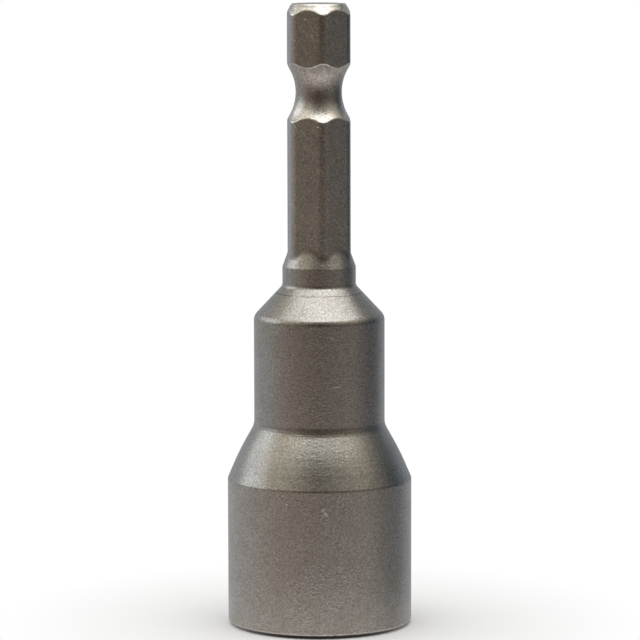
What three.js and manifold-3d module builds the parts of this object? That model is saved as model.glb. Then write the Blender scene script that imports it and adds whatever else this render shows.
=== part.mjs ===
// Magnetic nut setter: shank, barrel and nut socket made in one piece, with a sprung magnet in the barrel.
// Millimetres, +Z up. The origin is the centre of the socket mouth, on which the setter stands.

import * as THREE from "three";
import { mergeVertices } from "three/addons/utils/BufferGeometryUtils.js";
import Module from "manifold-3d";

const wasm = await Module();
wasm.setup();

// Socket
const NUT_ACROSS_FLATS = 13;
const NUT_CLEARANCE = 0.1;
const RECESS_CORNER_RADIUS = 0.3;
const RECESS_DEPTH = 11;
const LEAD_IN_WIDTH = 0.5;
const SOCKET_CORNER_WALL = 2.07;
const SOCKET_HEIGHT = 15.4;
const MOUTH_CHAMFER = 0.45;
const SOCKET_SHOULDER_FILLET = 0.8;

// Lower cone and barrel
const LOWER_CONE_HEIGHT = 5.65;
const LOWER_CONE_CROWN = 0.19;
const LOWER_CONE_CROWN_RADIUS = 24;
const LOWER_CONE_ROOT_FILLET = 1.8;
const BARREL_WALL = 1.63;
const BARREL_ROOF = 4.8;
const BARREL_SHOULDER_FILLET = 1.7;
const PILOT_DIAMETER = 5;
const PILOT_DEPTH = 1;
const DRILL_POINT_ANGLE = 118;

// Upper cone, collar and the ramp on which the six flats run out
const UPPER_CONE_HEIGHT = 3.1;
const NECK_FILLET = 1.55;
const COLLAR_LEDGE = 0.38;
const COLLAR_HEIGHT = 1.95;
const COLLAR_EDGE_FILLET = 0.6;
const RAMP_HEIGHT = 2.05;

// Hex shank with its latch groove
const SHANK_ACROSS_FLATS = 6.3;
const SHANK_EDGE_RADIUS = 1.2;
const SHANK_LENGTH = 25.4;
const END_CHAMFER_WIDTH = 0.66;
const END_CHAMFER_ANGLE = 30;
const END_EDGE_RADIUS = 0.3;
const GROOVE_FROM_END = 9.15;
const GROOVE_DEPTH = 0.75;
const GROOVE_RADIUS = 4.8;

// Magnet and the cup that carries it
const MAGNET_DIAMETER = 6;
const MAGNET_HEIGHT = 3;
const MAGNET_EDGE_CHAMFER = 0.2;
const MAGNET_SETBACK = 0.2;
const GLUE_LINE = 0.05;
const CUP_SETBACK = 5;
const CUP_WALL = 1;
const CUP_EDGE_CHAMFER = 0.3;
const FLANGE_WIDTH = 1;
const FLANGE_HEIGHT = 2;
const BOSS_HEIGHT = 2;
const BOSS_CLEARANCE = 0.3;
const RUNNING_CLEARANCE = 0.15;

// Retaining ring
const RING_WIRE = 1;
const RING_BITE = 0.25;
const RING_OPENING_ANGLE = 50;
const RING_LAND = 1;
const RING_PLAY = 0.1;

// Spring
const SPRING_WIRE = 0.6;
const SPRING_TURNS = 7;
const SPRING_END_GAP = 0.45;
const SPRING_RESERVE = 1.5;
const SPRING_SIDE_CLEARANCE = 0.4;
const SEAT_GAP = 0.1;

// Fineness of the facets
const ROUND_SIDES = 60;
const FILLET_STEPS = 4;
const LONGEST_FILLET_SHARE = 0.48;
const GROOVE_STEPS = 10;
const HEX_EDGE_STEPS = 4;
const WIRE_SIDES = 6;
const SPRING_STEPS_PER_TURN = 20;
const RING_STEPS = 40;
const CUT_OVERRUN = 0.5;

// Radii, from the magnet outwards and from the nut outwards
const magnetRadius = MAGNET_DIAMETER / 2;
const pocketRadius = magnetRadius + GLUE_LINE;
const cupRadius = pocketRadius + CUP_WALL;
const flangeRadius = cupRadius + FLANGE_WIDTH;
const boreRadius = flangeRadius + RUNNING_CLEARANCE;
const barrelRadius = boreRadius + BARREL_WALL;
const ringRadius = boreRadius + RING_BITE - RING_WIRE / 2;
const ringGrooveRadius = boreRadius + RING_BITE + RING_PLAY;
const springRadius = boreRadius - SPRING_SIDE_CLEARANCE - SPRING_WIRE / 2;
const bossRadius = springRadius - SPRING_WIRE / 2 - BOSS_CLEARANCE;
const recessAcrossFlats = NUT_ACROSS_FLATS + NUT_CLEARANCE;
const recessReach = recessAcrossFlats / Math.sqrt(3);
const socketRadius = recessReach + SOCKET_CORNER_WALL;
const shankFlatRadius = SHANK_ACROSS_FLATS / 2;
const shankEdgeReach = hexArcReach(SHANK_ACROSS_FLATS, SHANK_EDGE_RADIUS) + SHANK_EDGE_RADIUS;
const collarRadius = shankEdgeReach + COLLAR_LEDGE;

// Heights, from the mouth up; the cup can retract until its lip is level with the recess floor
const retractTravel = RECESS_DEPTH - CUP_SETBACK;
const ringGrooveBottom = RECESS_DEPTH + RING_LAND;
const ringCentre = ringGrooveBottom + RING_PLAY + RING_WIRE / 2;
const ringGrooveTop = ringCentre + RING_WIRE / 2 + RING_PLAY;
const flangeBottom = ringCentre + RING_WIRE / 2 + SEAT_GAP;
const flangeTop = flangeBottom + FLANGE_HEIGHT;
const springBottom = flangeTop + SEAT_GAP;
const springLength = retractTravel + (SPRING_TURNS + 1) * SPRING_WIRE + SPRING_RESERVE;
const springSeat = springBottom + springLength + SEAT_GAP;
const lowerConeTop = SOCKET_HEIGHT + LOWER_CONE_HEIGHT;
const barrelTop = springSeat + BARREL_ROOF;
const collarBottom = barrelTop + UPPER_CONE_HEIGHT;
const collarTop = collarBottom + COLLAR_HEIGHT;
const shankBottom = collarTop + RAMP_HEIGHT;
const shankTop = shankBottom + SHANK_LENGTH;

// How far from the axis the arcs on a hexagon's corners are centred.
function hexArcReach(acrossFlats, cornerRadius) {
  return (acrossFlats / 2 - cornerRadius) / Math.cos(Math.PI / 6);
}

// A hexagon with rounded corners and two of its flats facing +X and -X.
function roundedHexagon(acrossFlats, cornerRadius) {
  const reach = hexArcReach(acrossFlats, cornerRadius);
  const halfCorner = Math.PI / 6;
  const shape = new THREE.Shape();
  for (let corner = 0; corner < 6; corner++) {
    const angle = halfCorner * (2 * corner + 1);
    const x = reach * Math.cos(angle);
    const y = reach * Math.sin(angle);
    shape.absarc(x, y, cornerRadius, angle - halfCorner, angle + halfCorner, false);
  }
  return shape;
}

// An outline through [radius, height, fillet] corners, with the fillets as arcs.
// A fillet is limited by the walls beside it.
function filletedOutline(corners) {
  const points = corners.map(([radius, height]) => new THREE.Vector2(radius, height));
  return points.flatMap((corner, i) => {
    const fillet = corners[i][2];
    if (!fillet) {
      return [corner];
    }
    const back = points[i - 1].clone().sub(corner);
    const ahead = points[i + 1].clone().sub(corner);
    const shortest = Math.min(back.length(), ahead.length());
    const halfAngle = back.angleTo(ahead) / 2;
    const tangent = Math.min(fillet / Math.tan(halfAngle), LONGEST_FILLET_SHARE * shortest);
    const start = corner.clone().addScaledVector(back.normalize(), tangent);
    const end = corner.clone().addScaledVector(ahead.normalize(), tangent);
    const toCentre = back.clone().add(ahead).setLength(tangent / Math.cos(halfAngle));
    const centre = corner.clone().add(toCentre);
    const turn = Math.PI - 2 * halfAngle;
    const direction = -Math.sign(back.cross(ahead));
    const arc = [start];
    for (let step = 1; step < FILLET_STEPS; step++) {
      arc.push(start.clone().rotateAround(centre, (direction * turn * step) / FILLET_STEPS));
    }
    return [...arc, end];
  });
}

// A geometry as a solid, with shared vertices merged and collapsed triangles left out.
function solidOf(geometry) {
  geometry.deleteAttribute("normal");
  geometry.deleteAttribute("uv");
  const merged = mergeVertices(geometry);
  const corners = merged.index.array;
  const triangles = [];
  for (let i = 0; i < corners.length; i += 3) {
    const [a, b, c] = corners.subarray(i, i + 3);
    if (a !== b && b !== c && c !== a) {
      triangles.push(a, b, c);
    }
  }
  return new wasm.Manifold(
    new wasm.Mesh({
      numProp: 3,
      vertProperties: merged.attributes.position.array,
      triVerts: new Uint32Array(triangles),
    }),
  );
}

// A solid as a geometry that a mesh can show.
function geometryOf(solid) {
  const { vertProperties, triVerts } = solid.getMesh();
  const geometry = new THREE.BufferGeometry();
  geometry.setAttribute("position", new THREE.BufferAttribute(vertProperties, 3));
  geometry.setIndex(new THREE.BufferAttribute(triVerts, 1));
  geometry.computeVertexNormals();
  return geometry;
}

// An outline of radius and height turned about Z.
function turned(outline) {
  const geometry = new THREE.LatheGeometry(outline, ROUND_SIDES);
  return solidOf(geometry.rotateX(Math.PI / 2));
}

// A hexagonal bar between two heights.
function hexBar(acrossFlats, cornerRadius, bottom, top) {
  const geometry = new THREE.ExtrudeGeometry(roundedHexagon(acrossFlats, cornerRadius), {
    depth: top - bottom,
    bevelEnabled: false,
    curveSegments: HEX_EDGE_STEPS,
  });
  return solidOf(geometry.translate(0, 0, bottom));
}

// A round wire along a line, closed at both ends.
function wireAlong(line, diameter, steps) {
  const centre = new THREE.Vector2();
  const section = [];
  for (let side = 0; side < WIRE_SIDES; side++) {
    const point = new THREE.Vector2(diameter / 2, 0);
    section.push(point.rotateAround(centre, (2 * Math.PI * side) / WIRE_SIDES));
  }
  line.arcLengthDivisions = 4 * steps;
  return new THREE.ExtrudeGeometry(new THREE.Shape(section), { steps, extrudePath: line });
}

// The outside from the mouth up to the ramp, which runs on into the shank at the same slope.
function turnedBody() {
  const rampSlope = (collarRadius - shankFlatRadius) / RAMP_HEIGHT;
  const rampEndRadius = shankFlatRadius - CUT_OVERRUN;
  const rampEnd = shankBottom + CUT_OVERRUN / rampSlope;
  const coneMiddle = (socketRadius + barrelRadius) / 2 + LOWER_CONE_CROWN;
  return turned(
    filletedOutline([
      [0, 0],
      [socketRadius - MOUTH_CHAMFER, 0],
      [socketRadius, MOUTH_CHAMFER],
      [socketRadius, SOCKET_HEIGHT, SOCKET_SHOULDER_FILLET],
      [coneMiddle, SOCKET_HEIGHT + LOWER_CONE_HEIGHT / 2, LOWER_CONE_CROWN_RADIUS],
      [barrelRadius, lowerConeTop, LOWER_CONE_ROOT_FILLET],
      [barrelRadius, barrelTop, BARREL_SHOULDER_FILLET],
      [collarRadius, collarBottom, NECK_FILLET],
      [collarRadius, collarTop, COLLAR_EDGE_FILLET],
      [rampEndRadius, rampEnd],
      [0, rampEnd],
    ]),
  );
}

// The hex shank: a hexagonal bar turned to the chamfered end and the latch groove.
function hexShank() {
  const blankRadius = shankEdgeReach + CUT_OVERRUN;
  const endRadius = shankEdgeReach - END_CHAMFER_WIDTH;
  const chamferSlope = Math.tan(THREE.MathUtils.degToRad(END_CHAMFER_ANGLE));
  const chamferStart = shankTop - (blankRadius - endRadius) / chamferSlope;
  const grooveCentre = new THREE.Vector2(
    shankFlatRadius - GROOVE_DEPTH + GROOVE_RADIUS,
    shankTop - GROOVE_FROM_END,
  );
  const halfGroove = Math.acos((grooveCentre.x - blankRadius) / GROOVE_RADIUS);
  const outline = [new THREE.Vector2(0, collarBottom), new THREE.Vector2(blankRadius, collarBottom)];
  for (let step = 0; step <= GROOVE_STEPS; step++) {
    const angle = halfGroove * ((2 * step) / GROOVE_STEPS - 1);
    const deepest = new THREE.Vector2(grooveCentre.x - GROOVE_RADIUS, grooveCentre.y);
    outline.push(deepest.rotateAround(grooveCentre, -angle));
  }
  const end = filletedOutline([
    [blankRadius, chamferStart],
    [endRadius, shankTop, END_EDGE_RADIUS],
    [0, shankTop],
  ]);
  outline.push(...end);
  const bar = hexBar(SHANK_ACROSS_FLATS, SHANK_EDGE_RADIUS, collarBottom, shankTop);
  return bar.intersect(turned(outline));
}

// What is cut out of the body: the lead-in at the mouth, the hex recess, the bore and the ring groove.
function hollow() {
  const leadInRadius = recessReach + LEAD_IN_WIDTH;
  const leadIn = turned(
    filletedOutline([
      [0, -CUT_OVERRUN],
      [leadInRadius + CUT_OVERRUN, -CUT_OVERRUN],
      [cupRadius, leadInRadius - cupRadius],
      [0, leadInRadius - cupRadius],
    ]),
  );
  const pilotRadius = PILOT_DIAMETER / 2;
  const pilotEnd = springSeat + PILOT_DEPTH;
  const drillPoint = pilotRadius / Math.tan(THREE.MathUtils.degToRad(DRILL_POINT_ANGLE / 2));
  const bore = turned(
    filletedOutline([
      [0, RECESS_DEPTH - CUT_OVERRUN],
      [boreRadius, RECESS_DEPTH - CUT_OVERRUN],
      [boreRadius, ringGrooveBottom],
      [ringGrooveRadius, ringGrooveBottom],
      [ringGrooveRadius, ringGrooveTop],
      [boreRadius, ringGrooveTop],
      [boreRadius, springSeat],
      [pilotRadius, springSeat],
      [pilotRadius, pilotEnd],
      [0, pilotEnd + drillPoint],
    ]),
  );
  const recess = hexBar(recessAcrossFlats, RECESS_CORNER_RADIUS, -CUT_OVERRUN, RECESS_DEPTH);
  return recess.add(leadIn).add(bore);
}

// The one-piece body.
function bodyGeometry() {
  return geometryOf(turnedBody().add(hexShank()).subtract(hollow()));
}

// The cup, from its lip up: a pocket for the magnet, the flange that the ring stops and the spring's boss.
function cupGeometry() {
  const pocketDepth = MAGNET_SETBACK + MAGNET_HEIGHT + GLUE_LINE;
  const cupFlangeBottom = flangeBottom - CUP_SETBACK;
  const cupFlangeTop = cupFlangeBottom + FLANGE_HEIGHT;
  return geometryOf(
    turned(
      filletedOutline([
        [0, pocketDepth],
        [pocketRadius, pocketDepth],
        [pocketRadius, 0],
        [cupRadius - CUP_EDGE_CHAMFER, 0],
        [cupRadius, CUP_EDGE_CHAMFER],
        [cupRadius, cupFlangeBottom],
        [flangeRadius, cupFlangeBottom],
        [flangeRadius, cupFlangeTop],
        [bossRadius, cupFlangeTop],
        [bossRadius, cupFlangeTop + BOSS_HEIGHT],
        [0, cupFlangeTop + BOSS_HEIGHT],
      ]),
    ),
  );
}

// The disc magnet, from its working face up.
function magnetGeometry() {
  const flatRadius = magnetRadius - MAGNET_EDGE_CHAMFER;
  return geometryOf(
    turned(
      filletedOutline([
        [0, 0],
        [flatRadius, 0],
        [magnetRadius, MAGNET_EDGE_CHAMFER],
        [magnetRadius, MAGNET_HEIGHT - MAGNET_EDGE_CHAMFER],
        [flatRadius, MAGNET_HEIGHT],
        [0, MAGNET_HEIGHT],
      ]),
    ),
  );
}

// The centre line of the retaining ring, open at +X.
class RingLine extends THREE.Curve {
  getPoint(share, target = new THREE.Vector3()) {
    const opening = THREE.MathUtils.degToRad(RING_OPENING_ANGLE);
    const angle = opening / 2 + share * (2 * Math.PI - opening);
    return target.set(ringRadius * Math.cos(angle), ringRadius * Math.sin(angle), 0);
  }
}

// The centre line of the spring, from its foot up: a close turn at each end and open turns between.
class SpringLine extends THREE.Curve {
  getPoint(share, target = new THREE.Vector3()) {
    const turn = share * SPRING_TURNS;
    const endPitch = SPRING_WIRE + SPRING_END_GAP;
    const openPitch = (springLength - SPRING_WIRE - 2 * endPitch) / (SPRING_TURNS - 2);
    const firstTurn = Math.min(turn, 1);
    const lastTurn = Math.max(turn - (SPRING_TURNS - 1), 0);
    const openTurns = turn - firstTurn - lastTurn;
    const height = SPRING_WIRE / 2 + (firstTurn + lastTurn) * endPitch + openTurns * openPitch;
    const angle = 2 * Math.PI * turn;
    return target.set(springRadius * Math.cos(angle), springRadius * Math.sin(angle), height);
  }
}

// The least gap between two turns of the spring, between points at least half a turn apart.
function leastSpringGap(line) {
  const points = line.getPoints(SPRING_STEPS_PER_TURN * SPRING_TURNS);
  let least = Infinity;
  points.forEach((point, i) => {
    points.slice(i + SPRING_STEPS_PER_TURN / 2).forEach((other) => {
      least = Math.min(least, point.distanceTo(other) - SPRING_WIRE);
    });
  });
  return least;
}

// A named mesh at a height on the axis.
function part(name, geometry, material, height = 0) {
  const mesh = new THREE.Mesh(geometry, material);
  mesh.name = name;
  mesh.position.z = height;
  return mesh;
}

const satinSteel = new THREE.MeshStandardMaterial({ color: 0x8a8276, roughness: 0.45, metalness: 1 });
const turnedSteel = new THREE.MeshStandardMaterial({ color: 0x9c9a96, roughness: 0.35, metalness: 1 });
const springSteel = new THREE.MeshStandardMaterial({ color: 0x6f6d6a, roughness: 0.3, metalness: 1 });
const nickelPlate = new THREE.MeshStandardMaterial({ color: 0xc9c7c2, roughness: 0.2, metalness: 1 });

const springLine = new SpringLine();
const springSteps = Math.round(SPRING_STEPS_PER_TURN * SPRING_TURNS);
console.log(`spring: least gap to itself ${leastSpringGap(springLine).toFixed(2)} mm`);

const nutSetter = new THREE.Group();
nutSetter.name = "magnetic_nut_setter";
nutSetter.add(part("body", bodyGeometry(), satinSteel));
const ringGeometry = wireAlong(new RingLine(), RING_WIRE, RING_STEPS);
nutSetter.add(part("retaining_ring", ringGeometry, springSteel, ringCentre));
const springGeometry = wireAlong(springLine, SPRING_WIRE, springSteps);
nutSetter.add(part("spring", springGeometry, springSteel, springBottom));

// What slides: the cup with the magnet glued into it
const carrier = new THREE.Group();
carrier.name = "magnet_carrier";
carrier.position.z = CUP_SETBACK;
carrier.add(part("magnet_cup", cupGeometry(), turnedSteel));
carrier.add(part("magnet", magnetGeometry(), nickelPlate, MAGNET_SETBACK));
nutSetter.add(carrier);

export default nutSetter;
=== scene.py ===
"""Looks of the magnetic nut setter: fine meshes and finishes for its five pieces, and a small photo studio.

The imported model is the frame: metres, with +Z from the socket's mouth to the end of the shank. Sizes here are
in millimetres, as on a drawing, and become metres where a mesh is made. Lamps and screen are in metres.
"""

import logging
import math
from collections.abc import Callable, Iterable
from dataclasses import dataclass
from enum import Enum
from functools import cached_property
from typing import Any

import bmesh
import bpy
from bmesh.types import BMEdge, BMesh, BMVert
from mathutils import Matrix, Vector


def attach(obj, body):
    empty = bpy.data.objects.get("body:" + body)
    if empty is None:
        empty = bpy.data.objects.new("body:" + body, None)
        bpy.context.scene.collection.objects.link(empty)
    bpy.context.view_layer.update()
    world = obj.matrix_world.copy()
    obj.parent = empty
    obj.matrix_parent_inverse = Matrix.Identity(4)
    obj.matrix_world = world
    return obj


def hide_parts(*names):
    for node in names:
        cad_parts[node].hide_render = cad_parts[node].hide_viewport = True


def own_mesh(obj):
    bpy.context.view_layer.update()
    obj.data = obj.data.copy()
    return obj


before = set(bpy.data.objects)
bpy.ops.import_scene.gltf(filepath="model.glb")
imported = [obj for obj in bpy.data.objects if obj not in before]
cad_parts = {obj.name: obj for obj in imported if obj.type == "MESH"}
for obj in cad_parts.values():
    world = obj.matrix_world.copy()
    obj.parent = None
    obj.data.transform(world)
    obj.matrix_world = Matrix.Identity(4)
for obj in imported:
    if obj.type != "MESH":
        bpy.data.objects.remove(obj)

Colour = tuple[float, float, float, float]
Tint = tuple[float, float, float]
Span = tuple[float, float]
Noise = tuple[float, float]  # Grain in millimetres, detail
Bump = tuple[float, float]  # Depth in millimetres, strength
Socket = bpy.types.NodeSocket
Material = bpy.types.Material
Object = bpy.types.Object

MM = 0.001
FULL_TURN = 2 * math.pi
AXIS = Vector((0, 0, 1))
WEAR = "edge_wear"
LATHE_AND_HIGHLIGHT = "turned"

log = logging.getLogger("nut_setter")


class Body(Enum):
    """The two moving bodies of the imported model."""

    SETTER = "setter"
    MAGNET_CARRIER = "magnet_carrier"


class Slot(Enum):
    """Names of the material slots."""

    SATIN_STEEL = "satin_steel"
    TURNED_STEEL = "turned_steel"
    SPRING_STEEL = "spring_steel"
    NICKEL_PLATE = "nickel_plate"


class FloorEdge(Enum):
    """What a sheet of the floor fades into."""

    SKY = "sky"
    CLEAR = "clear"


class NodeSheet:
    """Adds the nodes of one material or world and links them."""

    # Sockets of a Mix node that mixes colours
    MIX_SHARE, MIX_FIRST, MIX_SECOND, MIXED = 0, 6, 7, 2

    def __init__(self, tree: bpy.types.NodeTree) -> None:
        """Starts on an emptied node tree."""
        tree.nodes.clear()
        self.tree = tree

    @cached_property
    def place(self) -> Socket:
        """The point, in the object's own coordinates."""
        return self.add("TexCoord").outputs["Object"]

    @cached_property
    def height(self) -> Socket:
        """The point's height."""
        return self.add("SeparateXYZ", {0: self.place}).outputs["Z"]

    @cached_property
    def around(self) -> Socket:
        """The point's direction about Z, as a share of a full turn."""
        return self.add("TexGradient", {"Vector": self.place}, gradient_type="RADIAL").outputs["Fac"]

    def add(self, kind: str, inputs: dict[Any, Any] | None = None, **settings: Any) -> bpy.types.Node:
        """Adds a node.

        Args:
            kind: Blender's name for the node's type, without the ShaderNode that it starts with.
            inputs: Values for its sockets by name or number; a socket as a value is linked.
            settings: Values for its other properties.

        Returns:
            The new node.
        """
        node = self.tree.nodes.new("ShaderNode" + kind)
        for name, value in settings.items():
            setattr(node, name, value)
        for name, value in (inputs or {}).items():
            if isinstance(value, Socket):
                self.tree.links.new(value, node.inputs[name])
            else:
                node.inputs[name].default_value = value
        return node

    def unrolled(self, radius: float) -> Socket:
        """Rolls out the skin at a radius and returns the way round it as X and the height as Y."""
        arc = self.maths("MULTIPLY", self.around, FULL_TURN * radius * MM)
        return self.add("CombineXYZ", {"X": arc, "Y": self.height}).outputs[0]

    def noise(self, place: Socket, grain_mm: float, detail: float) -> Socket:
        """Adds a noise whose grains are about a given size across and returns its value."""
        inputs = {"Vector": place, "Scale": 1 / (grain_mm * MM), "Detail": detail}
        return self.add("TexNoise", inputs).outputs["Fac"]

    def stretch(self, value: Socket, span: Span, onto: Span = (0, 1)) -> Socket:
        """Maps a value's span onto another, clamped at its ends.

        Args:
            value: The socket that gives the value.
            span: Start and end of what is read.
            onto: What the start and the end become.

        Returns:
            The socket that gives the result.
        """
        ends = zip(("From Min", "From Max", "To Min", "To Max"), (*span, *onto))
        return self.add("MapRange", {"Value": value, **dict(ends)}).outputs["Result"]

    def mix(self, share: Socket, first: Any, second: Any) -> Socket:
        """Mixes two colours, each a value or a socket, by the share of the second."""
        inputs = {self.MIX_SHARE: share, self.MIX_FIRST: first, self.MIX_SECOND: second}
        return self.add("Mix", inputs, data_type="RGBA").outputs[self.MIXED]

    def maths(self, operation: str, first: Any, second: Any) -> Socket:
        """Adds a sum, product or other operation on two numbers and returns its result."""
        return self.add("Math", {0: first, 1: second}, operation=operation).outputs[0]

    def surface(self, shader: bpy.types.Node) -> None:
        """Shows a shader on the material's surface."""
        self.add("OutputMaterial", {"Surface": shader.outputs[0]})

    def metal(self, base: Socket, rough: Socket, relief: Socket, bump: Bump) -> None:
        """Shows bare metal on the material's surface.

        Args:
            base: The socket that gives its colour.
            rough: The socket that gives its roughness.
            relief: The socket that gives the height of its fine relief.
            bump: How deep the relief is, and how much of it shows.
        """
        depth, strength = bump
        heights = {"Strength": strength, "Distance": depth * MM, "Height": relief}
        normal = self.add("Bump", heights).outputs["Normal"]
        inputs = {"Base Color": base, "Metallic": 1.0, "Roughness": rough, "Normal": normal}
        self.surface(self.add("BsdfPrincipled", inputs))


def new_material(name: str) -> tuple[Material, NodeSheet]:
    """Makes a material.

    Args:
        name: Its name.

    Returns:
        The material and the empty sheet for its nodes.
    """
    made = bpy.data.materials.new(name)
    made.use_nodes = True
    return made, NodeSheet(made.node_tree)


def colour(red: float, green: float, blue: float) -> Colour:
    """Returns a colour as the four numbers that Blender's sockets take."""
    return (red, green, blue, 1.0)


def tinted(brightness: float, tint: Tint) -> Colour:
    """Returns a tint at a brightness."""
    return colour(*(brightness * part for part in tint))


def metres(span: Span) -> Span:
    """Turns a span of millimetres into metres."""
    return (span[0] * MM, span[1] * MM)


@dataclass(frozen=True)
class Nick:
    """A small light mark on the skin, as an ellipse that leans."""

    angle: float
    radius: float
    height: float
    length: float
    width: float
    lean: float
    fade: Span = (0.4, 1.0)

    def mask(self, sheet: NodeSheet) -> Socket:
        """Draws the mark.

        Args:
            sheet: Where the nodes go.

        Returns:
            The socket that gives 1 in the mark and 0 away from it.
        """
        girth = FULL_TURN * self.radius * MM
        inputs = {
            "Vector": sheet.unrolled(self.radius),
            "Location": ((0.5 + self.angle / 360) * girth, self.height * MM, 0),
            "Rotation": (0, 0, math.radians(self.lean)),
            "Scale": (self.length / 2 * MM, self.width / 2 * MM, 1),
        }
        local = sheet.add("Mapping", inputs, vector_type="TEXTURE").outputs[0]
        reach = sheet.add("VectorMath", {0: local}, operation="LENGTH").outputs["Value"]
        return sheet.stretch(reach, self.fade, (1, 0))


@dataclass(frozen=True)
class BlastedSteel:
    """Bead-blasted grey steel with a warm cast: dimples, specks, faint stains and edges worn brighter."""

    plain: Colour = colour(0.42, 0.40, 0.37)
    stained: Colour = colour(0.39, 0.365, 0.33)
    worn: Colour = colour(0.80, 0.78, 0.74)
    # Painted shade: the near-black of the mouth's chamfer, standing in for the contact shadow it reflects
    mouth_shade: Colour = colour(0.09, 0.086, 0.08)

    # Roughness, which follows the stains, and how much smoother a worn edge is
    roughness: Span = (0.24, 0.30)
    rough_span: Span = (0.3, 0.7)
    polish: float = 0.08

    # Dimples, how they change the tone, and how much of their tops is rubbed
    dimple_noise: Noise = (0.19, 3)
    dimple_bump: Bump = (0.018, 1.0)
    dimple_span: Span = (0.3, 0.7)
    dimple_gain: Span = (0.7, 1.3)
    rub_span: Span = (0.35, 0.6)
    rub_share: Span = (0.3, 1)

    # Specks and stains
    speck_mm: float = 0.3
    speck_edge: Span = (0.15, 0.4)
    speck_change: Span = (-0.25, 0.25)
    stain_noise: Noise = (2.4, 5)
    stain_span: Span = (0.35, 0.65)

    # Tones by place: the mouth's chamfer painted dark as painted shade, the socket painted lighter than the
    # rest as painted light, and what the lathe left bright, with the groove's lower lip as painted highlight
    mouth_shade_top: Span = (0.34, 0.374)
    socket_top: Span = (15.246, 15.4)
    socket_light_gain: Span = (1.1, 0.96)
    lathe_and_highlight_gain: float = 1.65

    # Turning lines: their heights, half width, gaps and darkness
    turning_lines: Span = (34.95, 64.74)
    line_edge: Span = (0.02, 0.06)
    line_gap_noise: Noise = (1.6, 2)
    line_gap_span: Span = (0.42, 0.52)
    line_depth: float = 0.5

    # Fine slanting scratches on the shank, which come in patches
    scratch_start: Span = (41.0, 42.0)
    scratch_radius: float = 3.3
    scratch_slant: float = math.radians(58)
    scratch_stretch: float = 0.09
    scratch_noise: Noise = (0.12, 1)
    scratch_span: Span = (0.58, 0.70)
    patch_noise: Noise = (2.2, 1)
    patch_span: Span = (0.42, 0.58)
    patch_gain: float = 0.55

    nick_gain: float = 1.8
    nicks: tuple[Nick, ...] = (
        Nick(-82.7, 6.83, 25.8, 1.25, 0.10, 9),
        Nick(-86.5, 6.83, 30.9, 0.7, 0.10, -50),
        Nick(-94.0, 9.63, 13.1, 0.75, 0.16, -50),
        Nick(-96.0, 9.63, 13.5, 0.35, 0.14, 30),
        Nick(-118.5, 9.63, 14.0, 0.3, 0.14, 10),
        Nick(-124.0, 3.2, 63.45, 0.42, 0.14, -30),
        Nick(-100.0, 3.35, 52.4, 0.4, 0.16, -15),
    )

    def material(self) -> Material:
        """Builds the finish.

        Returns:
            The material.
        """
        made, sheet = new_material("blasted_steel")
        dimples = sheet.noise(sheet.place, *self.dimple_noise)
        stains = sheet.noise(sheet.place, *self.stain_noise)
        specks = self.specks(sheet)
        wear = sheet.add("Attribute", attribute_name=WEAR).outputs["Fac"]
        turned = sheet.add("Attribute", attribute_name=LATHE_AND_HIGHLIGHT).outputs["Fac"]

        base = sheet.mix(sheet.stretch(stains, self.stain_span), self.plain, self.stained)
        speckle = sheet.maths("ADD", sheet.stretch(dimples, self.dimple_span, self.dimple_gain), specks)
        gain = sheet.maths("ADD", speckle, self.scratches(sheet))
        # Painted light: the socket is painted lighter and everything above it darker
        tone = sheet.stretch(sheet.height, metres(self.socket_top), self.socket_light_gain)
        # The lathe's brighter finish, and the painted highlight on the groove's lower lip
        shine = sheet.stretch(turned, (0, 1), (1, self.lathe_and_highlight_gain))
        for change in (tone, self.lines(sheet), shine):
            gain = sheet.maths("MULTIPLY", gain, change)
        grained = sheet.add("VectorMath", {0: base, 1: gain}, operation="MULTIPLY").outputs[0]
        rubbed = sheet.maths("MULTIPLY", wear, sheet.stretch(dimples, self.rub_span, self.rub_share))
        skin = sheet.mix(rubbed, grained, self.worn)
        # Painted shade: the mouth's chamfer is darkened to near-black below its top
        mouth_shaded = sheet.mix(sheet.stretch(sheet.height, metres(self.mouth_shade_top), (1, 0)), skin, self.mouth_shade)

        blast = sheet.stretch(stains, self.rough_span, self.roughness)
        rough = sheet.maths("SUBTRACT", blast, sheet.maths("MULTIPLY", rubbed, self.polish))
        relief = sheet.maths("ADD", dimples, specks)
        sheet.metal(mouth_shaded, rough, relief, self.dimple_bump)
        return made

    def specks(self, sheet: NodeSheet) -> Socket:
        """Scatters light and dark specks.

        Args:
            sheet: Where the nodes go.

        Returns:
            The socket that gives how much lighter or darker a point is.
        """
        cells = sheet.add("TexVoronoi", {"Vector": sheet.place, "Scale": 1 / (self.speck_mm * MM)})
        inside = sheet.stretch(cells.outputs["Distance"], self.speck_edge, (1, 0))
        chance = sheet.add("SeparateColor", {0: cells.outputs["Color"]}).outputs[0]
        return sheet.maths("MULTIPLY", inside, sheet.stretch(chance, (0, 1), self.speck_change))

    def scratches(self, sheet: NodeSheet) -> Socket:
        """Draws the nicks and, on the shank's flats, fine slanting scratches.

        Args:
            sheet: Where the nodes go.

        Returns:
            The socket that gives how much lighter a point is.
        """
        nicked, *others = [nick.mask(sheet) for nick in self.nicks]
        for mark in others:
            nicked = sheet.maths("MAXIMUM", nicked, mark)
        flat = sheet.unrolled(self.scratch_radius)
        slanted = sheet.add("Mapping", {"Vector": flat, "Rotation": (0, 0, self.scratch_slant)}).outputs[0]
        drawn = sheet.add("Mapping", {"Vector": slanted, "Scale": (self.scratch_stretch, 1, 1)}).outputs[0]
        hairs = sheet.stretch(sheet.noise(drawn, *self.scratch_noise), self.scratch_span)
        patches = sheet.stretch(sheet.noise(flat, *self.patch_noise), self.patch_span, (0, self.patch_gain))
        on_shank = sheet.stretch(sheet.height, metres(self.scratch_start))
        fine = sheet.maths("MULTIPLY", sheet.maths("MULTIPLY", hairs, patches), on_shank)
        return sheet.maths("ADD", fine, sheet.maths("MULTIPLY", nicked, self.nick_gain))

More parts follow.
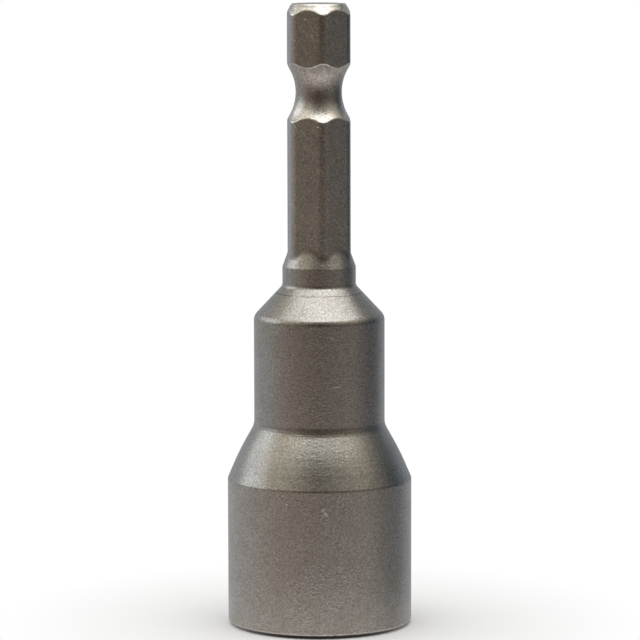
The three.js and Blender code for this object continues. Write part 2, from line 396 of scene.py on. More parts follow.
    def lines(self, sheet: NodeSheet) -> Socket:
        """Draws the broken lines that a turning tool left on the upper cone and the end's chamfer.

        Args:
            sheet: Where the nodes go.

        Returns:
            The socket that gives the darkening, 1 away from the lines.
        """
        from_lines = [sheet.maths("SUBTRACT", sheet.height, line * MM) for line in self.turning_lines]
        away = [sheet.maths("ABSOLUTE", distance, 0) for distance in from_lines]
        near = sheet.stretch(sheet.maths("MINIMUM", *away), metres(self.line_edge), (1, 0))
        gaps = sheet.noise(sheet.place, *self.line_gap_noise)
        broken = sheet.stretch(gaps, self.line_gap_span, (0, self.line_depth))
        return sheet.maths("SUBTRACT", 1.0, sheet.maths("MULTIPLY", near, broken))


@dataclass(frozen=True)
class PatchyMetal:
    """Bare metal whose colour and roughness drift from patch to patch, over a fine relief."""

    name: str
    plain: Colour
    patch: Colour
    patch_noise: Noise
    patch_span: Span
    roughness: Span
    relief_noise: Noise
    relief_bump: Bump
    rough_span: Span = (0.3, 0.7)

    def relief(self, sheet: NodeSheet) -> Socket:
        """Draws the relief as a fine noise and returns its height."""
        return sheet.noise(sheet.place, *self.relief_noise)

    def material(self) -> Material:
        """Builds the finish.

        Returns:
            The material.
        """
        made, sheet = new_material(self.name)
        patches = sheet.noise(sheet.place, *self.patch_noise)
        base = sheet.mix(sheet.stretch(patches, self.patch_span), self.plain, self.patch)
        rough = sheet.stretch(patches, self.rough_span, self.roughness)
        sheet.metal(base, rough, self.relief(sheet), self.relief_bump)
        return made


@dataclass(frozen=True)
class TurnedSteel(PatchyMetal):
    """Machined steel with the fine rings that a lathe leaves."""

    name: str = "turned_steel"
    plain: Colour = colour(0.52, 0.51, 0.49)
    patch: Colour = colour(0.44, 0.43, 0.41)
    patch_noise: Noise = (1.5, 4)
    patch_span: Span = (0.35, 0.65)
    roughness: Span = (0.21, 0.33)
    relief_noise: Noise = (0.12, 2)
    relief_bump: Bump = (0.003, 0.8)
    wave_length: float = 0.314
    wander: float = 1.2

    def relief(self, sheet: NodeSheet) -> Socket:
        """Draws the rings.

        Args:
            sheet: Where the nodes go.

        Returns:
            The socket that gives their height.
        """
        ring_mm, detail = self.relief_noise
        scale = self.wave_length / (ring_mm * MM)
        inputs = {"Vector": sheet.place, "Scale": scale, "Distortion": self.wander, "Detail": detail}
        return sheet.add("TexWave", inputs, wave_type="RINGS", rings_direction="Z").outputs["Fac"]


@dataclass(frozen=True)
class DrawnWire(PatchyMetal):
    """Drawn spring wire: dark and smooth, with a thin film of oil that gathers in patches."""

    name: str = "drawn_wire"
    plain: Colour = colour(0.40, 0.39, 0.38)
    patch: Colour = colour(0.24, 0.225, 0.21)
    patch_noise: Noise = (0.9, 5)
    patch_span: Span = (0.4, 0.7)
    roughness: Span = (0.32, 0.22)
    relief_noise: Noise = (0.08, 2)
    relief_bump: Bump = (0.002, 0.6)


@dataclass(frozen=True)
class NickelPlate(PatchyMetal):
    """Bright nickel plate, a little cloudy, with a fine orange peel."""

    name: str = "nickel_plate"
    plain: Colour = colour(0.72, 0.71, 0.69)
    patch: Colour = colour(0.63, 0.615, 0.59)
    patch_noise: Noise = (1.1, 4)
    patch_span: Span = (0.35, 0.7)
    roughness: Span = (0.13, 0.25)
    relief_noise: Noise = (0.12, 2)
    relief_bump: Bump = (0.002, 0.5)


class HalfOutline:
    """Half of a turned section: drawn as a line in the XZ plane, rounded at its corners and spun about Z."""

    ARC_STEP = math.radians(9)
    LEAST_ARC_STEPS = 3
    SUPPORT = 0.06 * MM
    MERGE = 1e-4 * MM

    def __init__(self, radius: float, height: float) -> None:
        """Starts the line.

        Args:
            radius: Its first point's distance from the axis, in millimetres.
            height: That point's height.
        """
        self.bm = bmesh.new()
        self.end = self.bm.verts.new((radius * MM, 0, height * MM))
        self.fillets: list[tuple[BMVert, float]] = []

    def lines(self, *corners: tuple[float, ...]) -> None:
        """Draws straight stretches.

        Args:
            corners: Where each ends: its radius, its height and, if the corner there is rounded, the fillet.
        """
        for radius, height, *fillets in corners:
            corner = self.bm.verts.new((radius * MM, 0, height * MM))
            self.bm.edges.new((self.end, corner))
            self.end = corner
            self.fillets += [(corner, fillet * MM) for fillet in fillets]

    def sweep(self, centre: Span, angle: float, steps: int) -> None:
        """Draws an arc about a centre, from where the line ends.

        Args:
            centre: The centre's distance from the axis and its height.
            angle: How far the arc turns about +Y, in radians.
            steps: How many stretches it has.
        """
        middle = (centre[0] * MM, 0, centre[1] * MM)
        arc = bmesh.ops.spin(self.bm, geom=[self.end], cent=middle, axis=(0, 1, 0), angle=angle, steps=steps)
        self.end = next(part for part in arc["geom_last"] if isinstance(part, BMVert))

    def round_corners(self) -> None:
        """Turns each corner that has a fillet into an arc."""
        for corner, fillet in self.fillets:
            back, ahead = (edge.other_vert(corner).co - corner.co for edge in corner.link_edges)
            opening = back.angle(ahead)
            steps = max(self.LEAST_ARC_STEPS, round((math.pi - opening) / self.ARC_STEP))
            reach = fillet / math.tan(opening / 2)
            shape = {"segments": steps, "profile": 0.5, "affect": "VERTICES", "material": -1}
            bmesh.ops.bevel(self.bm, geom=[corner], offset=reach, offset_type="OFFSET", **shape)

    def split(self, step_at: Callable[[Vector], float]) -> None:
        """Splits long stretches into rows.

        Args:
            step_at: Gives the row height in metres at a point: 0 where a straight wall needs only its ends
                supported, and infinity where a stretch stays whole.
        """
        for edge in list(self.bm.edges):
            length = edge.calc_length()
            step = step_at((edge.verts[0].co + edge.verts[1].co) / 2)
            if step and length > step:
                bmesh.ops.subdivide_edges(self.bm, edges=[edge], cuts=math.ceil(length / step) - 1)
            elif not step and length > 4 * self.SUPPORT:
                self._support(edge)

    def _support(self, edge: BMEdge) -> None:
        """Adds a point close to each end of a straight stretch, so that it stays flat beside its fillets.

        Args:
            edge: The stretch.
        """
        start, end = edge.verts
        rest, _ = bmesh.utils.edge_split(edge, start, self.SUPPORT / edge.calc_length())
        rest = edge if end in edge.verts else rest
        bmesh.utils.edge_split(rest, end, self.SUPPORT / rest.calc_length())

    def spin(self, sides: int, step_at: Callable[[Vector], float] = lambda point: 0.0) -> BMesh:
        """Rounds the line's corners, splits it into rows and spins it about Z into a closed skin.

        Args:
            sides: How many steps go round.
            step_at: Gives the row height, as for split; by default every wall is straight.

        Returns:
            The skin, with its faces pointing outwards.
        """
        self.round_corners()
        self.split(step_at)
        line = [*self.bm.verts, *self.bm.edges]
        bmesh.ops.spin(
            self.bm, geom=line, cent=(0, 0, 0), axis=AXIS, angle=FULL_TURN, steps=sides, use_merge=True
        )
        bmesh.ops.remove_doubles(self.bm, verts=self.bm.verts, dist=self.MERGE)
        bmesh.ops.recalc_face_normals(self.bm, faces=self.bm.faces)
        return self.bm


@dataclass(frozen=True)
class Hexagon:
    """A hexagon with rounded corners and two of its flats facing +X and -X."""

    across_flats: float
    corner_radius: float

    @property
    def arc_reach(self) -> float:
        """How far from the axis the corner arcs are centred."""
        return (self.across_flats / 2 - self.corner_radius) / math.cos(math.pi / 6)

    @property
    def reach(self) -> float:
        """How far the corners are from the axis."""
        return self.arc_reach + self.corner_radius

    def radius(self, angle: float) -> float:
        """Measures the hexagon in one direction.

        Args:
            angle: The direction about Z, in radians from +X.

        Returns:
            The distance from the axis to the outline.
        """
        from_flat = abs((angle + math.pi / 6) % (math.pi / 3) - math.pi / 6)
        from_corner = math.pi / 6 - from_flat
        half_arc = self.corner_radius / 2
        arc_end = math.atan2(half_arc, self.arc_reach + self.corner_radius * math.cos(math.pi / 6))
        if from_corner > arc_end:
            return self.across_flats / 2 / math.cos(from_flat)
        aside = self.arc_reach * math.sin(from_corner)
        return self.arc_reach * math.cos(from_corner) + math.sqrt(self.corner_radius**2 - aside**2)


def lesser(first: float, second: float, width: float) -> float:
    """Returns the lesser of two radii, with the edge where they meet rounded over a width."""
    overlap = max(width - abs(first - second), 0) / width
    return min(first, second) - overlap**2 * width / 4


def greater(first: float, second: float, width: float) -> float:
    """Returns the greater of two radii, with the corner where they meet rounded over a width."""
    return -lesser(-first, -second, width)


def mark_wear(bm: BMesh, slight_mm: float, full_mm: float) -> None:
    """Marks how much each point's edge would be rubbed, from how sharply the skin bends outwards there.

    Args:
        bm: The skin.
        slight_mm: Edge radius at which the wear starts.
        full_mm: Edge radius at which it is full.
    """
    layer = bm.verts.layers.float.new(WEAR)
    low, high = 1 / (slight_mm * MM), 1 / (full_mm * MM)
    for vert in bm.verts:
        area = sum(face.calc_area() / len(face.verts) for face in vert.link_faces)
        bend = sum(edge.calc_face_angle_signed(0) * edge.calc_length() for edge in vert.link_edges)
        share = (bend / (2 * area) - low) / (high - low)
        vert[layer] = min(max(share, 0), 1)


def new_object(bm: BMesh, name: str, finish: Material) -> Object:
    """Makes a mesh an object of the scene.

    Args:
        bm: The mesh, which is used up.
        name: The object's name.
        finish: Its material.

    Returns:
        The object.
    """
    mesh = bpy.data.meshes.new(name)
    bm.to_mesh(mesh)
    bm.free()
    mesh.materials.append(finish)
    made = bpy.data.objects.new(name, mesh)
    bpy.context.scene.collection.objects.link(made)
    return made


def piece(bm: BMesh, name: str, node: str, body: Body, finish: Material) -> Object:
    """Makes a finished skin a piece of the model.

    Args:
        bm: The skin, which is used up.
        name: The piece's name.
        node: The CAD node that it stands for.
        body: The body that it rides on.
        finish: Its material.

    Returns:
        The piece.
    """
    made = new_object(bm, name, finish)
    made.data.shade_smooth()
    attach(made, body.value)
    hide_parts(node)
    log.info("%s: %d faces, for %s on %s", name, len(made.data.polygons), node, body.value)
    return made


@dataclass(frozen=True)
class SetterBody:
    """The one-piece body: hex socket, two cones, barrel, collar and the hex shank with its latch groove."""

    finish: BlastedSteel = BlastedSteel()
    sides: int = 216

    # Bore, from its drilled end down to the recess
    pilot_radius: float = 2.5
    pilot_top: float = 28.7
    drill_tip: float = 30.2
    bore_radius: float = 5.2
    spring_seat: float = 27.7
    ring_groove_radius: float = 5.55
    ring_groove: Span = (12.0, 13.2)

    # Socket
    recess: Hexagon = Hexagon(13.1, 0.3)
    recess_depth: float = 11.0
    lead_in_radius: float = 8.063
    socket_radius: float = 9.633
    socket_height: float = 15.4
    socket_fillet: float = 0.45
    mouth_chamfer: float = 0.45
    mouth_fillet: float = 0.2

    # Cones, barrel and collar
    cone_crown: float = 0.19
    cone_crown_radius: float = 24.0
    cone_top: float = 21.05
    cone_top_fillet: float = 1.8
    barrel_radius: float = 6.83
    barrel_top: float = 32.5
    barrel_fillet: float = 1.0
    collar_radius: float = 3.832
    collar_bottom: float = 35.7
    collar_top: float = 37.68
    neck_fillet: float = 0.6

    # Shank
    shank: Hexagon = Hexagon(6.3, 1.12)
    shank_bottom: float = 40.1
    shank_top: float = 65.0
    blank_margin: float = 0.5
    end_radius: float = 2.79
    end_chamfer: float = math.radians(31)
    end_fillet: float = 0.14
    groove_height: float = 55.85
    groove_depth: float = 0.75
    groove_radius: float = 4.8

    # Run-out from the collar to the flats, and the groove's lower lip, painted bright as painted highlight
    run_out_curve: float = 1.1
    run_out_blend: float = 0.16
    run_out_shine: float = 0.12
    lip_highlight_gain: float = 3.0
    lip_highlight_start: float = 0.4

    # Edges, and the edge radii between which they are worn
    edge_break: float = 0.1
    milled_edge: float = 0.05
    slight_wear: float = 0.5
    full_wear: float = 0.15

    # Rows of the mesh, which are fine in the lead-in, the run-out and the shank's end
    fine_row: float = 0.06
    lead_in_rows: float = 1.7
    run_out_rows: float = 36.9
    end_rows: float = 62.0
    groove_steps: int = 84

    @property
    def blank_radius(self) -> float:
        """Radius of the round blank that the shank is milled from."""
        return self.shank.reach + self.blank_margin

    def outline(self) -> HalfOutline:
        """Draws the section, from the drilled end of the bore through the mouth to the end of the shank.

        Returns:
            The outline.
        """
        groove_low, groove_high = self.ring_groove
        cone_middle = (self.socket_radius + self.barrel_radius) / 2 + self.cone_crown
        edge = self.edge_break
        drawn = HalfOutline(0, self.drill_tip)
        drawn.lines(
            (self.pilot_radius, self.pilot_top),
            (self.pilot_radius, self.spring_seat, edge),
            (self.bore_radius, self.spring_seat, edge),
            (self.bore_radius, groove_high, edge),
            (self.ring_groove_radius, groove_high, edge),
            (self.ring_groove_radius, groove_low, edge),
            (self.bore_radius, groove_low, edge),
            (self.bore_radius, self.recess_depth, edge),
            (self.recess.reach, self.recess_depth, edge),
            (self.recess.reach, self.lead_in_radius - self.recess.reach),
            (self.lead_in_radius, 0, edge),
            (self.socket_radius - self.mouth_chamfer, 0, edge),
            (self.socket_radius, self.mouth_chamfer, self.mouth_fillet),
            (self.socket_radius, self.socket_height, self.socket_fillet),
            (cone_middle, (self.socket_height + self.cone_top) / 2, self.cone_crown_radius),
            (self.barrel_radius, self.cone_top, self.cone_top_fillet),
            (self.barrel_radius, self.barrel_top, self.barrel_fillet),
            (self.collar_radius, self.collar_bottom, self.neck_fillet),
            (self.collar_radius, self.shank_bottom),
        )
        self.draw_shank(drawn)
        return drawn

    def draw_shank(self, drawn: HalfOutline) -> None:
        """Draws the round blank of the shank, with its latch groove and chamfered end.

        Args:
            drawn: The outline that it is added to.
        """
        groove_centre = self.shank.across_flats / 2 - self.groove_depth + self.groove_radius
        half_groove = math.acos((groove_centre - self.blank_radius) / self.groove_radius)
        half_height = self.groove_radius * math.sin(half_groove)
        chamfer_bottom = self.shank_top - (self.blank_radius - self.end_radius) / math.tan(self.end_chamfer)
        drawn.lines(
            (self.blank_radius, self.shank_bottom + self.fine_row),
            (self.blank_radius, self.groove_height - half_height),
        )
        drawn.sweep((groove_centre, self.groove_height), 2 * half_groove, self.groove_steps)
        drawn.lines(
            (self.blank_radius, chamfer_bottom),
            (self.end_radius, self.shank_top, self.end_fillet),
            (0, self.shank_top),
        )

    def row_height(self, point: Vector) -> float:
        """Gives the height of the mesh's rows at a point.

        Args:
            point: A point on the outline.

        Returns:
            The row height in metres, 0 for a plain straight wall, or infinity to leave a stretch whole.
        """
        radius, height = point.x / MM, point.z / MM
        if 0 < height - self.shank_bottom < self.fine_row:
            return math.inf
        in_lead_in = height < self.lead_in_rows and radius < self.lead_in_radius
        in_run_out = self.run_out_rows < height < self.shank_bottom
        at_end = height > self.end_rows and radius > self.end_radius
        return self.fine_row * MM if in_lead_in or in_run_out or at_end else 0.0

    def cut(self, radius: float, height: float, angle: float) -> Span:
        """Mills the shank and its run-out, or broaches the recess, at a point of the turned skin.

        Args:
            radius: The turned distance from the axis.
            height: The point's height.
            angle: Its direction about Z.

        Returns:
            The distance after the cut, and how bright the lathe has left the steel, with painted highlight on
            the groove's lower lip: 1 on the end's chamfer and the lower lip, less on the run-out, 0 where it is
            blasted.
        """
        flat = self.shank.radius(angle)
        if height > self.shank_bottom:
            lip = (self.groove_height - height) / self.groove_radius
            # Painted highlight: the groove's lower, upward-facing lip is brightened, its upper half is not
            shine = 1.0 if lip < -1 else min(max(self.lip_highlight_gain * lip - self.lip_highlight_start, 0), 1)
            turned = radius <= flat + self.milled_edge
            return lesser(radius, flat, self.milled_edge), shine if turned else 0.0
        if height > self.collar_top:
            share = (self.shank_bottom - height) / (self.shank_bottom - self.collar_top)
            root = self.shank.across_flats / 2 - self.run_out_blend
            run_out = root + share**self.run_out_curve * (self.collar_radius - root)
            proud = min(max((run_out - flat) / self.run_out_blend, 0), 1)
            return greater(run_out, flat, self.run_out_blend), self.run_out_shine * proud
        if height <= self.recess_depth and self.bore_radius < radius < self.lead_in_radius:
            share = (radius - self.bore_radius) / (self.recess.reach - self.bore_radius)
            broached = self.bore_radius + min(share, 1) * (self.recess.radius(angle) - self.bore_radius)
            return greater(broached, self.lead_in_radius - height, self.milled_edge), 0.0
        return radius, 0.0

    def build(self) -> Object:
        """Builds and dresses the body.

        Returns:
            The piece.
        """
        bm = self.outline().spin(self.sides, self.row_height)
        turned = bm.verts.layers.float.new(LATHE_AND_HIGHLIGHT)
        for vert in bm.verts:
            radius = vert.co.xy.length
            if radius > 0:
                angle = math.atan2(vert.co.y, vert.co.x)
                milled, vert[turned] = self.cut(radius / MM, vert.co.z / MM, angle)
                vert.co.x *= milled * MM / radius
                vert.co.y *= milled * MM / radius
        bm.normal_update()
        mark_wear(bm, self.slight_wear, self.full_wear)
        return piece(bm, "blasted_body", "body", Body.SETTER, self.finish.material())


@dataclass(frozen=True)
class MagnetCarrier:
    """The turned cup that slides in the bore, and the disc magnet glued into it."""

    cup_finish: TurnedSteel = TurnedSteel()
    magnet_finish: NickelPlate = NickelPlate()
    sides: int = 144
    edge_break: float = 0.08

    # Cup
    cup_radius: float = 4.05
    cup_lip: float = 5.0
    cup_chamfer: float = 0.3
    pocket_radius: float = 3.05
    pocket_floor: float = 8.25
    flange_radius: float = 5.05
    flange: Span = (13.2, 15.2)
    boss_radius: float = 3.9
    boss_top: float = 17.2
    boss_edge: float = 0.24

    # Magnet
    magnet_radius: float = 3.0
    magnet_face: float = 5.2
    magnet_back: float = 8.2
    magnet_edge: float = 0.2

    def build_cup(self) -> Object:
        """Builds and dresses the cup.

        Returns:
            The piece.
        """
        flange_low, flange_high = self.flange
        edge = self.edge_break
        drawn = HalfOutline(0, self.pocket_floor)
        drawn.lines(
            (self.pocket_radius, self.pocket_floor, edge),
            (self.pocket_radius, self.cup_lip, edge),
            (self.cup_radius - self.cup_chamfer, self.cup_lip, edge),
            (self.cup_radius, self.cup_lip + self.cup_chamfer, edge),
            (self.cup_radius, flange_low, edge),
            (self.flange_radius, flange_low, edge),
            (self.flange_radius, flange_high, edge),
            (self.boss_radius, flange_high, edge),
            (self.boss_radius, self.boss_top, self.boss_edge),
            (0, self.boss_top),
        )
        bm = drawn.spin(self.sides)
        finish = self.cup_finish.material()
        return piece(bm, "turned_cup", "magnet_cup", Body.MAGNET_CARRIER, finish)

    def build_magnet(self) -> Object:
        """Builds and dresses the magnet.

        Returns:
            The piece.
        """
        drawn = HalfOutline(0, self.magnet_face)
        drawn.lines(
            (self.magnet_radius, self.magnet_face, self.magnet_edge),
            (self.magnet_radius, self.magnet_back, self.magnet_edge),
            (0, self.magnet_back),
        )
        bm = drawn.spin(self.sides)
        finish = self.magnet_finish.material()
        return piece(bm, "disc_magnet", "magnet", Body.MAGNET_CARRIER, finish)


@dataclass(frozen=True)
class Wire:
    """A round wire, by its diameter, the radius that it is bent to and how many sides it has."""

    diameter: float
    radius: float
    sides: int

    def section(self, bm: BMesh, height: float, angle: float) -> list[Any]:
        """Adds the round section at which the wire starts.

        Args:
            bm: The wire's mesh, still empty.
            height: The section's height.
            angle: Its direction about Z.

        Returns:
            The section's points and edges.
        """
        place = Matrix.Rotation(angle, 4, "Z") @ Matrix.Translation((self.radius * MM, 0, height * MM))
        stand = place @ Matrix.Rotation(math.pi / 2, 4, "X")
        bmesh.ops.create_circle(bm, segments=self.sides, radius=self.diameter / 2 * MM, matrix=stand)
        return [*bm.verts, *bm.edges]


def close_ends(bm: BMesh) -> None:
    """Closes a wire's two ends and points its faces outwards."""
    bmesh.ops.holes_fill(bm, edges=[edge for edge in bm.edges if edge.is_boundary])
    bmesh.ops.recalc_face_normals(bm, faces=bm.faces)


@dataclass(frozen=True)
class BarrelFittings:
    """The wire parts in the bore: the spring behind the cup and the snap ring that stops its flange."""

    finish: DrawnWire = DrawnWire()

    # Spring
    spring: Wire = Wire(0.6, 4.5, 14)
    spring_bottom: float = 15.3
    spring_top: float = 27.6
    spring_turns: int = 7
    end_gap: float = 0.45
    steps_per_turn: int = 48

    # Snap ring
    ring: Wire = Wire(1.0, 4.95, 20)
    ring_height: float = 12.6
    ring_opening: float = math.radians(50)
    ring_steps: int = 120

    # How far the magnet carrier pushes the spring together
    joint: str = "magnet_retract"
    travel: float = 6.0

    def build_spring(self) -> Object:
        """Builds and dresses the spring, with a close turn at each end and open turns between.

        Returns:
            The piece.
        """
        length = self.spring_top - self.spring_bottom
        end_pitch = self.spring.diameter + self.end_gap
        open_turns = self.spring_turns - 2
        open_pitch = (length - self.spring.diameter - 2 * end_pitch) / open_turns
        bm = bmesh.new()
        section = self.spring.section(bm, self.spring_bottom + self.spring.diameter / 2, 0)
        for turns, pitch in ((1, end_pitch), (open_turns, open_pitch), (1, end_pitch)):
            steps = turns * self.steps_per_turn
            rise = AXIS * (pitch / self.steps_per_turn * MM)
            winding = {"axis": AXIS, "dvec": rise, "angle": turns * FULL_TURN, "steps": steps}
            section = bmesh.ops.spin(bm, geom=section, cent=(0, 0, 0), **winding)["geom_last"]
        close_ends(bm)
        made = piece(bm, "coil_spring", "spring", Body.SETTER, self.finish.material())
        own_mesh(made)
        return made

    def build_ring(self) -> Object:
        """Builds and dresses the snap ring, open towards +X.

        Returns:
            The piece.
        """
        bm = bmesh.new()
        section = self.ring.section(bm, self.ring_height, self.ring_opening / 2)
        sweep = FULL_TURN - self.ring_opening
        bmesh.ops.spin(bm, geom=section, cent=(0, 0, 0), axis=AXIS, angle=sweep, steps=self.ring_steps)
        close_ends(bm)
        finish = self.finish.material()
        return piece(bm, "snap_ring", "retaining_ring", Body.SETTER, finish)


@dataclass(frozen=True)
class PhotoCamera:
    """The camera at the photograph's viewing angle."""

    azimuth: float = math.radians(-7.9)
    distance: float = 378.16
    height: float = 78.44
    pitch: float = math.radians(7.0)
    aside: float = 0.08
    roll: float = math.radians(-0.126)
    lens: float = 205.1
    sensor: float = 36.0
    clip: Span = (10, 10000)

    def place(self) -> None:
        """Creates the camera and makes it the scene's own."""
        data = bpy.data.cameras.new("photo_camera")
        data.lens = self.lens
        data.sensor_width = self.sensor
        data.clip_start, data.clip_end = metres(self.clip)
        camera = bpy.data.objects.new("photo_camera", data)
        turn = Matrix.Rotation(self.azimuth, 4, "Z")
        stand = Matrix.Translation((self.aside * MM, -self.distance * MM, self.height * MM))
        tilt = Matrix.Rotation(math.pi / 2 - self.pitch, 4, "X")
        camera.matrix_world = turn @ stand @ tilt @ Matrix.Rotation(self.roll, 4, "Z")
        bpy.context.scene.collection.objects.link(camera)
        bpy.context.scene.camera = camera


@dataclass(frozen=True)
class SoftBox:
    """A soft lamp that faces the setter."""

    name: str
    azimuth: float
    elevation: float
    distance: float
    width: float
    depth: float
    radiance: float
    tint: Tint = (1.0, 1.0, 1.0)

    def place(self, turn: Matrix) -> None:
        """Creates the lamp.

        Args:
            turn: How the studio is turned about Z.
        """
        lamp = bpy.data.lights.new(self.name, "AREA")
        lamp.shape = "ELLIPSE"
        lamp.size = self.width
        lamp.size_y = self.depth
        lamp.color = self.tint
        lamp.energy = self.radiance * math.pi * (math.pi / 4 * self.width * self.depth)
        box = bpy.data.objects.new(self.name, lamp)
        swing = Matrix.Rotation(math.radians(self.azimuth), 4, "Z")
        lift = Matrix.Rotation(math.radians(90 - self.elevation), 4, "X")
        box.matrix_world = turn @ swing @ lift @ Matrix.Translation((0, 0, self.distance))
        bpy.context.scene.collection.objects.link(box)


@dataclass(frozen=True)
class Panel:
    """How bright the screen is in one direction, below, level with and above the setter, and its tint."""

    azimuth: float
    below: float
    level: float
    above: float
    tint: Tint


@dataclass(frozen=True)
class Studio:
    """A white floor under a white sky, soft lamps, and a screen all round that hides from the camera."""

    azimuth: float = PhotoCamera.azimuth
    segments: int = 96

    # Floor
    floor_colour: Colour = colour(0.91, 0.91, 0.91)
    floor_radius: float = 34.0
    floor_fade: float = 24.4
    floor_cover: float = 0.9
    floor_hole: float = 8.6
    floor_drop: float = 0.02
    bounce_ahead: float = 10.0
    bounce_cover: float = 0.5

    # Screen, with a dimmer pit in the middle of its bottom
    screen_radius: float = 0.6
    screen_bottom: float = -0.45
    screen_top: float = 0.77
    screen_level: float = 0.17
    pit: float = 0.35
    pit_edge: Span = (0.18, 0.57)
    below_tint: Tint = (1.06, 0.98, 0.97)
    above_tint: Tint = (1.05, 1.0, 0.86)
    panels: tuple[Panel, ...] = (
        Panel(-180, 0.65, 0.40, 0.17, (0.96, 1.0, 1.09)),
        Panel(-140, 0.60, 0.53, 0.34, (0.95, 1.0, 1.06)),
        Panel(-105, 0.60, 0.47, 0.90, (0.98, 1.0, 1.03)),
        Panel(-70, 0.74, 0.31, 1.40, (1.10, 1.0, 0.90)),
        Panel(-55, 0.83, 0.233, 1.22, (1.155, 1.0, 0.858)),
        Panel(-35, 0.95, 0.13, 0.84, (1.34, 1.0, 0.73)),
        Panel(-20, 0.97, 0.10, 0.38, (1.33, 1.0, 0.735)),
        Panel(0, 1.0, 0.06, 0.20, (1.30, 1.0, 0.75)),
        Panel(35, 0.95, 0.115, 0.58, (1.19, 1.0, 0.88)),
        Panel(65, 0.80, 0.195, 1.08, (1.10, 1.0, 0.91)),
        Panel(90, 0.62, 0.11, 0.85, (0.98, 1.0, 1.05)),
        Panel(115, 0.72, 0.09, 0.40, (0.70, 1.0, 1.32)),
        Panel(140, 0.66, 0.38, 0.20, (0.90, 1.0, 1.11)),
        Panel(180, 0.65, 0.40, 0.17, (0.96, 1.0, 1.09)),
    )
    lamps: tuple[SoftBox, ...] = (
        SoftBox("overhead_small", 75, 84, 0.60, 0.50, 0.50, 0.31),
        SoftBox("overhead", 75, 84, 0.61, 0.84, 0.84, 0.36),
        SoftBox("overhead_wide", 75, 84, 0.62, 1.15, 1.15, 0.20),
        SoftBox("front", 14, 64, 0.55, 0.76, 0.11, 0.72),
        SoftBox("left", -104, 25, 0.55, 0.50, 0.25, 0.82, (0.92, 1.0, 1.07)),
    )

    def build(self) -> None:
        """Sets up the sky, the floor, the screen, the lamps and how colours are shown."""
        bpy.context.scene.view_settings.view_transform = "Standard"
        turn = Matrix.Rotation(self.azimuth, 4, "Z")
        self.sky()
        self.floor()
        self.screen(turn)
        for lamp in self.lamps:
            lamp.place(turn)

    def sky(self) -> None:
        """Makes the world plain white."""
        world = bpy.data.worlds.new("white_sky")
        world.use_nodes = True
        sheet = NodeSheet(world.node_tree)
        light = sheet.add("Background", {"Color": colour(1, 1, 1), "Strength": 1.0})
        sheet.add("OutputWorld", {"Surface": light.outputs[0]})
        bpy.context.scene.world = world

    def floor(self) -> None:
        """Builds two sheets: a floor that the camera sees and, just below, one that the steel reflects."""
        shown = self.floor_sheet("floor", 0, self.floor_cover, FloorEdge.SKY)
        shown.visible_diffuse = False
        shown.visible_glossy = False
        shown.visible_transmission = False
        shown.visible_shadow = False
        reflected = self.floor_sheet("reflected_floor", self.bounce_ahead, self.bounce_cover, FloorEdge.CLEAR)
        reflected.location.z = -self.floor_drop * MM
        reflected.visible_camera = False

    def floor_sheet(self, name: str, ahead: float, cover: float, edge: FloorEdge) -> Object:
        """Builds a white sheet, clear from below, with a hole that the socket's rim covers.

        Args:
            name: Its name.
            ahead: How far in front of the setter the point is about which it fades.
            cover: How much of the white is left there.
            edge: What it fades into.

        Returns:
            The sheet.
        """
        finish, sheet = new_material(name)
        middle = Matrix.Rotation(self.azimuth, 3, "Z") @ Vector((0, -ahead * MM, 0))
        reach = sheet.add("VectorMath", {0: sheet.place, 1: middle}, operation="DISTANCE").outputs["Value"]
        fade = metres((self.floor_radius - self.floor_fade, self.floor_radius))
        white = sheet.add("BsdfDiffuse", {"Color": self.floor_colour}).outputs[0]
        clear = sheet.add("BsdfTransparent").outputs[0]
        glow = {"Color": colour(1, 1, 1), "Strength": 1.0}
        beyond = sheet.add("Emission", glow).outputs[0] if edge is FloorEdge.SKY else clear
        shares = {0: sheet.stretch(reach, fade, (1 - cover, 1)), 1: white, 2: beyond}
        faded = sheet.add("MixShader", shares).outputs[0]
        below = sheet.add("NewGeometry").outputs["Backfacing"]
        sheet.surface(sheet.add("MixShader", {0: below, 1: faded, 2: clear}))

        bm = bmesh.new()
        for radius in (self.floor_radius + ahead, self.floor_hole):
            bmesh.ops.create_circle(bm, segments=self.segments, radius=radius * MM)
        bmesh.ops.bridge_loops(bm, edges=list(bm.edges))
        bmesh.ops.recalc_face_normals(bm, faces=bm.faces)
        if next(iter(bm.faces)).normal.z < 0:
            bmesh.ops.reverse_faces(bm, faces=bm.faces)
        return self.stage(bm, name, finish)

    def screen(self, turn: Matrix) -> None:
        """Builds the dim screen that gives the steel its darker sides.

        Args:
            turn: How the studio is turned about Z.
        """
        bm = bmesh.new()
        bottom = Matrix.Translation((0, 0, self.screen_bottom))
        bmesh.ops.create_circle(
            bm, cap_ends=True, cap_tris=True, segments=self.segments, radius=self.screen_radius, matrix=bottom
        )
        rim = [edge for edge in bm.edges if edge.is_boundary]
        raised = bmesh.ops.extrude_edge_only(bm, edges=rim)["geom"]
        rise = AXIS * (self.screen_top - self.screen_bottom)
        bmesh.ops.translate(bm, vec=rise, verts=[part for part in raised if isinstance(part, BMVert)])
        made = self.stage(bm, "screen", self.screen_finish())
        made.matrix_world = turn @ Matrix.Rotation(-math.pi / 2, 4, "Z")
        made.visible_camera = False

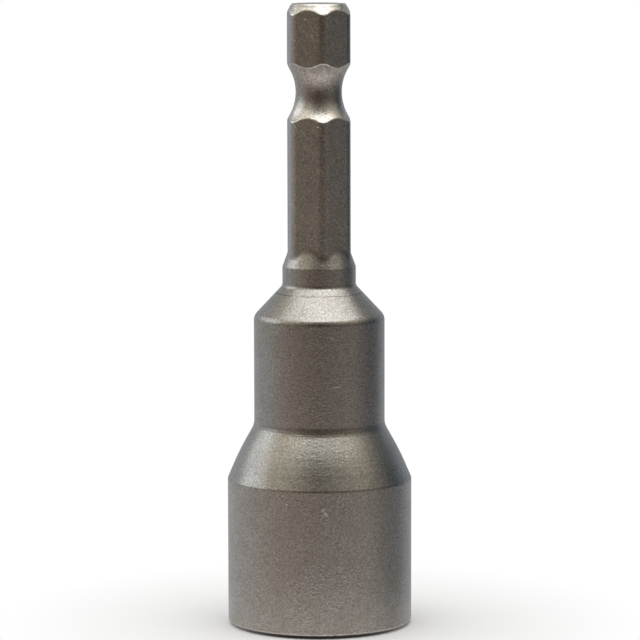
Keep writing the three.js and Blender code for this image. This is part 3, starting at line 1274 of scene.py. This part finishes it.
    def screen_finish(self) -> Material:
        """Builds the screen's glow, which differs by direction as the walls of a room do.

        Returns:
            The material.
        """
        made, sheet = new_material("dim_screen")
        below = self.tones(sheet, [tinted(panel.below, self.below_tint) for panel in self.panels])
        level = self.tones(sheet, [tinted(panel.level, panel.tint) for panel in self.panels])
        above = self.tones(sheet, [tinted(panel.above, self.above_tint) for panel in self.panels])
        rise = sheet.stretch(sheet.height, (self.screen_level, self.screen_top))
        fall = sheet.stretch(sheet.height, (0, self.screen_bottom))
        shown = sheet.mix(fall, sheet.mix(rise, level, above), below)
        flat = sheet.add("VectorMath", {0: sheet.place, 1: (1, 1, 0)}, operation="MULTIPLY").outputs[0]
        reach = sheet.add("VectorMath", {0: flat}, operation="LENGTH").outputs["Value"]
        depth = sheet.stretch(reach, self.pit_edge, (self.pit, 1))
        sheet.surface(sheet.add("Emission", {"Color": shown, "Strength": depth}))
        return made

    def tones(self, sheet: NodeSheet, colours: list[Colour]) -> Socket:
        """Blends one colour for each panel into a ring.

        Args:
            sheet: Where the nodes go.
            colours: The panels' colours.

        Returns:
            The socket that gives the colour.
        """
        ramp = sheet.add("ValToRGB", {"Fac": sheet.around})
        stops = ramp.color_ramp.elements
        while len(stops) < len(colours):
            stops.new(0.5)
        for stop, panel, tone in zip(stops, self.panels, colours):
            stop.position = 0.5 + panel.azimuth / 360
            stop.color = tone
        return ramp.outputs["Color"]

    def stage(self, bm: BMesh, name: str, finish: Material) -> Object:
        """Makes a mesh part of the studio, which isn't part of the setter.

        Args:
            bm: The mesh, which is used up.
            name: The object's name.
            finish: Its material.

        Returns:
            The object.
        """
        made = new_object(bm, name, finish)
        return made


def main() -> None:
    """Builds the studio and the setter's sub-assemblies, in order."""
    logging.basicConfig(level=logging.INFO, format="%(name)s: %(message)s")
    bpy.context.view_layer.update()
    PhotoCamera().place()
    Studio().build()
    SetterBody().build()
    carrier = MagnetCarrier()
    carrier.build_cup()
    carrier.build_magnet()
    fittings = BarrelFittings()
    fittings.build_spring()
    fittings.build_ring()


if __name__ == "__main__":
    main()
